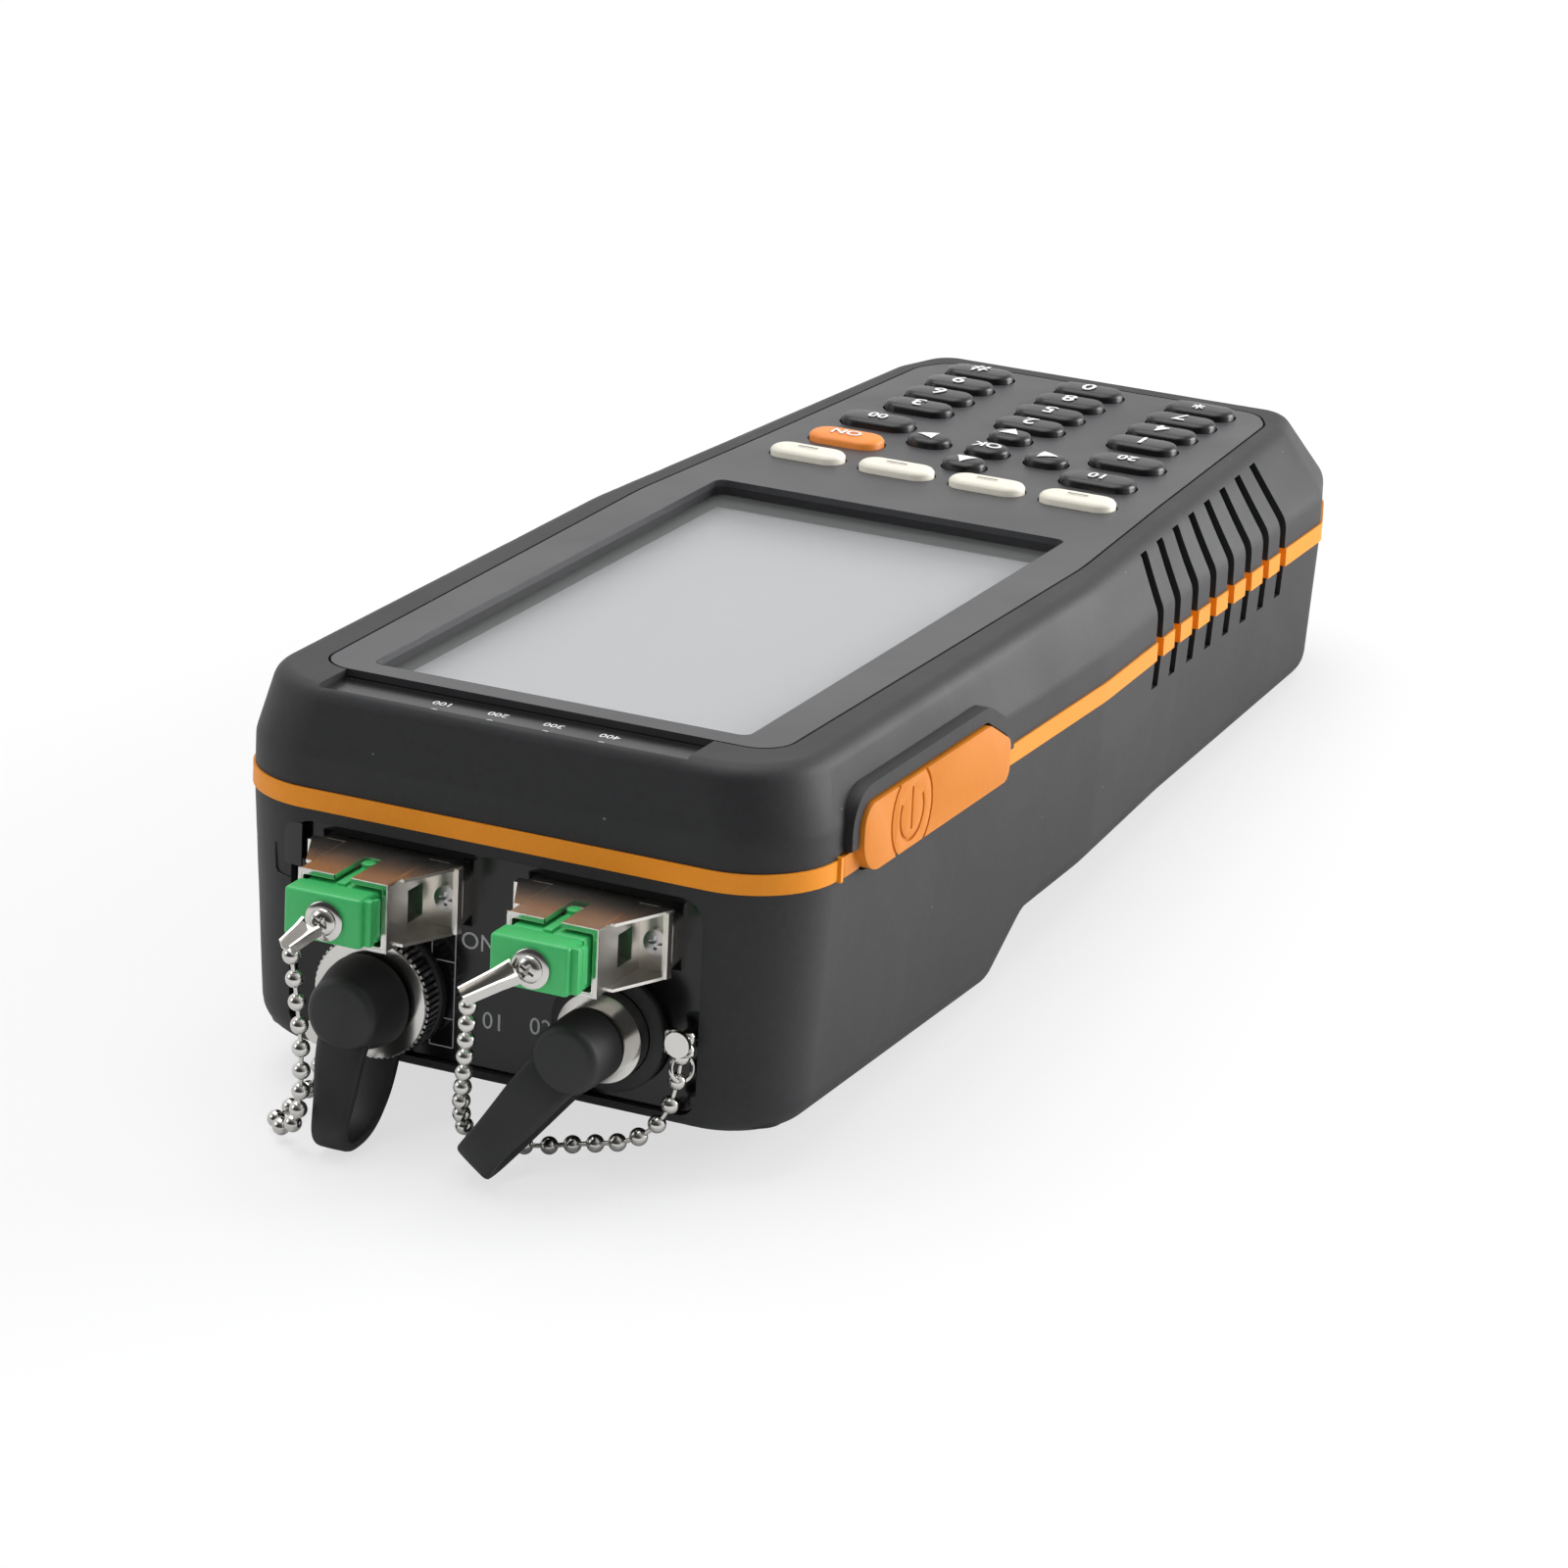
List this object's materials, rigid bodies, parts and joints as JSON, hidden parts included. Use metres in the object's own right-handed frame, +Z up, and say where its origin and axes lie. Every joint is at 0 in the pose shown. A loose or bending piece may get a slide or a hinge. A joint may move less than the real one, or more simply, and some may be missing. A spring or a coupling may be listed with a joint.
{
  "type": "optical time domain reflectometer",
  "caption": "Handheld fibre tester lying on its back, with a screen, a keypad, two plugged fibre ports, two capped round ports and an orange side flap.",
  "frame": {"origin": "on the table under the middle of the whole object as it lies on its two heels", "axes": "+X across to the flap side, +Y from the ports to the keypad end, +Z up"},
  "size_m": [0.0844, 0.2248, 0.0556],
  "materials": {
    "black_housing": "fine spark texture, satin black",
    "orange_rubber": "smooth matte orange",
    "grey_panel": "fine matte print on dark grey film",
    "lens_glass": "clear cover window",
    "screen_module": "unlit grey screen in a dark frame",
    "rubber_mat": "moulded silicone",
    "circuit_board": "green solder mask",
    "module_metal": "bead blasted",
    "battery_wrap": "shrink wrap",
    "screw_steel": "bright cross-recess screws",
    "gloss_plate": "gloss black with plain white marks",
    "adapter_nickel": "polished nickel plate",
    "green_plastic": "satin moulded green",
    "chain_nickel": "bright nickel",
    "port_chrome": "bright turned nickel",
    "black_rubber": "matte black rubber",
    "socket_metal": "stamped shell",
    "socket_plastic": "black moulded plastic",
    "light_pipe": "clear moulded pipe",
    "cream_key": "satin cream key",
    "orange_key": "satin orange key",
    "black_key": "satin black key with white marks"
  },
  "bodies": {
    "root": {"upper_housing": "black_housing", "lower_housing": "black_housing", "trim_band": "orange_rubber", "face_panel": "grey_panel", "display_lens": "lens_glass", "lcd_module": "screen_module", "keypad_mat": "rubber_mat", "main_board": "circuit_board", "optical_module": "module_metal", "battery_pack": "battery_wrap", "battery_cover": "black_housing", "case_screws": "screw_steel", "end_plate": "gloss_plate", "sc_adapter_left": "adapter_nickel", "sc_adapter_right": "adapter_nickel", "adapter_screws": "screw_steel", "plug_chain_left": "chain_nickel", "plug_chain_right": "chain_nickel", "chain_anchor": "chain_nickel", "meter_port": "port_chrome", "meter_ring": "port_chrome", "meter_strap": "black_rubber", "fault_port": "port_chrome", "fault_strap": "black_rubber", "usb_socket": "socket_metal", "dc_jack": "socket_plastic", "led_pipes": "light_pipe", "fault_laser": "module_metal"},
    "key_soft_1": {"key_soft_1": "cream_key"},
    "key_soft_2": {"key_soft_2": "cream_key"},
    "key_soft_3": {"key_soft_3": "cream_key"},
    "key_soft_4": {"key_soft_4": "cream_key"},
    "key_power": {"key_power": "orange_key"},
    "key_back": {"key_back": "black_key"},
    "key_menu": {"key_menu": "black_key"},
    "key_start": {"key_start": "black_key"},
    "key_left": {"key_left": "black_key"},
    "key_right": {"key_right": "black_key"},
    "key_up": {"key_up": "black_key"},
    "key_down": {"key_down": "black_key"},
    "key_enter": {"key_enter": "black_key"},
    "key_1": {"key_1": "black_key"},
    "key_2": {"key_2": "black_key"},
    "key_3": {"key_3": "black_key"},
    "key_4": {"key_4": "black_key"},
    "key_5": {"key_5": "black_key"},
    "key_6": {"key_6": "black_key"},
    "key_7": {"key_7": "black_key"},
    "key_8": {"key_8": "black_key"},
    "key_9": {"key_9": "black_key"},
    "key_star": {"key_star": "black_key"},
    "key_0": {"key_0": "black_key"},
    "key_hash": {"key_hash": "black_key"},
    "plug_left": {"dust_plug_left": "green_plastic", "plug_lug_left": "chain_nickel"},
    "plug_right": {"dust_plug_right": "green_plastic", "plug_lug_right": "chain_nickel"},
    "cap_meter": {"meter_cap": "black_rubber"},
    "cap_fault": {"fault_cap": "black_rubber"},
    "flap": {"port_flap": "orange_rubber"}
  },
  "joints": [
    {"name": "key_soft_1_press", "type": "slide", "parent": "root", "child": "key_soft_1", "axis": [0, -0.0945, -0.9955], "range_m": [0, 0.0008], "stiffness_N_per_m": 900, "springref_m": -0.0004},
    {"name": "key_soft_2_press", "type": "slide", "parent": "root", "child": "key_soft_2", "axis": [0, -0.0945, -0.9955], "range_m": [0, 0.0008], "stiffness_N_per_m": 900, "springref_m": -0.0004},
    {"name": "key_soft_3_press", "type": "slide", "parent": "root", "child": "key_soft_3", "axis": [0, -0.0945, -0.9955], "range_m": [0, 0.0008], "stiffness_N_per_m": 900, "springref_m": -0.0004},
    {"name": "key_soft_4_press", "type": "slide", "parent": "root", "child": "key_soft_4", "axis": [0, -0.0945, -0.9955], "range_m": [0, 0.0008], "stiffness_N_per_m": 900, "springref_m": -0.0004},
    {"name": "key_power_press", "type": "slide", "parent": "root", "child": "key_power", "axis": [0, -0.0945, -0.9955], "range_m": [0, 0.0008], "stiffness_N_per_m": 900, "springref_m": -0.0004},
    {"name": "key_back_press", "type": "slide", "parent": "root", "child": "key_back", "axis": [0, -0.0945, -0.9955], "range_m": [0, 0.0008], "stiffness_N_per_m": 900, "springref_m": -0.0004},
    {"name": "key_menu_press", "type": "slide", "parent": "root", "child": "key_menu", "axis": [0, -0.0945, -0.9955], "range_m": [0, 0.0008], "stiffness_N_per_m": 900, "springref_m": -0.0004},
    {"name": "key_start_press", "type": "slide", "parent": "root", "child": "key_start", "axis": [0, -0.0945, -0.9955], "range_m": [0, 0.0008], "stiffness_N_per_m": 900, "springref_m": -0.0004},
    {"name": "key_left_press", "type": "slide", "parent": "root", "child": "key_left", "axis": [0, -0.0945, -0.9955], "range_m": [0, 0.0008], "stiffness_N_per_m": 900, "springref_m": -0.0004},
    {"name": "key_right_press", "type": "slide", "parent": "root", "child": "key_right", "axis": [0, -0.0945, -0.9955], "range_m": [0, 0.0008], "stiffness_N_per_m": 900, "springref_m": -0.0004},
    {"name": "key_up_press", "type": "slide", "parent": "root", "child": "key_up", "axis": [0, -0.0945, -0.9955], "range_m": [0, 0.0008], "stiffness_N_per_m": 900, "springref_m": -0.0004},
    {"name": "key_down_press", "type": "slide", "parent": "root", "child": "key_down", "axis": [0, -0.0945, -0.9955], "range_m": [0, 0.0008], "stiffness_N_per_m": 900, "springref_m": -0.0004},
    {"name": "key_enter_press", "type": "slide", "parent": "root", "child": "key_enter", "axis": [0, -0.0945, -0.9955], "range_m": [0, 0.0008], "stiffness_N_per_m": 900, "springref_m": -0.0004},
    {"name": "key_1_press", "type": "slide", "parent": "root", "child": "key_1", "axis": [0, -0.0945, -0.9955], "range_m": [0, 0.0008], "stiffness_N_per_m": 900, "springref_m": -0.0004},
    {"name": "key_2_press", "type": "slide", "parent": "root", "child": "key_2", "axis": [0, -0.0945, -0.9955], "range_m": [0, 0.0008], "stiffness_N_per_m": 900, "springref_m": -0.0004},
    {"name": "key_3_press", "type": "slide", "parent": "root", "child": "key_3", "axis": [0, -0.0945, -0.9955], "range_m": [0, 0.0008], "stiffness_N_per_m": 900, "springref_m": -0.0004},
    {"name": "key_4_press", "type": "slide", "parent": "root", "child": "key_4", "axis": [0, -0.0945, -0.9955], "range_m": [0, 0.0008], "stiffness_N_per_m": 900, "springref_m": -0.0004},
    {"name": "key_5_press", "type": "slide", "parent": "root", "child": "key_5", "axis": [0, -0.0945, -0.9955], "range_m": [0, 0.0008], "stiffness_N_per_m": 900, "springref_m": -0.0004},
    {"name": "key_6_press", "type": "slide", "parent": "root", "child": "key_6", "axis": [0, -0.0945, -0.9955], "range_m": [0, 0.0008], "stiffness_N_per_m": 900, "springref_m": -0.0004},
    {"name": "key_7_press", "type": "slide", "parent": "root", "child": "key_7", "axis": [0, -0.0945, -0.9955], "range_m": [0, 0.0008], "stiffness_N_per_m": 900, "springref_m": -0.0004},
    {"name": "key_8_press", "type": "slide", "parent": "root", "child": "key_8", "axis": [0, -0.0945, -0.9955], "range_m": [0, 0.0008], "stiffness_N_per_m": 900, "springref_m": -0.0004},
    {"name": "key_9_press", "type": "slide", "parent": "root", "child": "key_9", "axis": [0, -0.0945, -0.9955], "range_m": [0, 0.0008], "stiffness_N_per_m": 900, "springref_m": -0.0004},
    {"name": "key_star_press", "type": "slide", "parent": "root", "child": "key_star", "axis": [0, -0.0945, -0.9955], "range_m": [0, 0.0008], "stiffness_N_per_m": 900, "springref_m": -0.0004},
    {"name": "key_0_press", "type": "slide", "parent": "root", "child": "key_0", "axis": [0, -0.0945, -0.9955], "range_m": [0, 0.0008], "stiffness_N_per_m": 900, "springref_m": -0.0004},
    {"name": "key_hash_press", "type": "slide", "parent": "root", "child": "key_hash", "axis": [0, -0.0945, -0.9955], "range_m": [0, 0.0008], "stiffness_N_per_m": 900, "springref_m": -0.0004},
    {"name": "plug_left_pull", "type": "slide", "parent": "root", "child": "plug_left", "axis": [0, -0.9955, 0.0945], "range_m": [0, 0.012], "deforming": ["plug_chain_left"]},
    {"name": "plug_right_pull", "type": "slide", "parent": "root", "child": "plug_right", "axis": [0, -0.9955, 0.0945], "range_m": [0, 0.012], "deforming": ["plug_chain_right"]},
    {"name": "meter_cap_pull", "type": "slide", "parent": "root", "child": "cap_meter", "axis": [0, -0.9955, 0.0945], "range_m": [0, 0.009], "deforming": ["meter_strap"]},
    {"name": "fault_cap_pull", "type": "slide", "parent": "root", "child": "cap_fault", "axis": [0, -0.9955, 0.0945], "range_m": [0, 0.009], "deforming": ["fault_strap"]},
    {"name": "flap_swing", "type": "hinge", "parent": "root", "child": "flap", "pos_m": [0.04062, -0.07468, 0.04001], "axis": [0, -0.0945, -0.9955], "range_deg": [0, 100]}
  ]
}
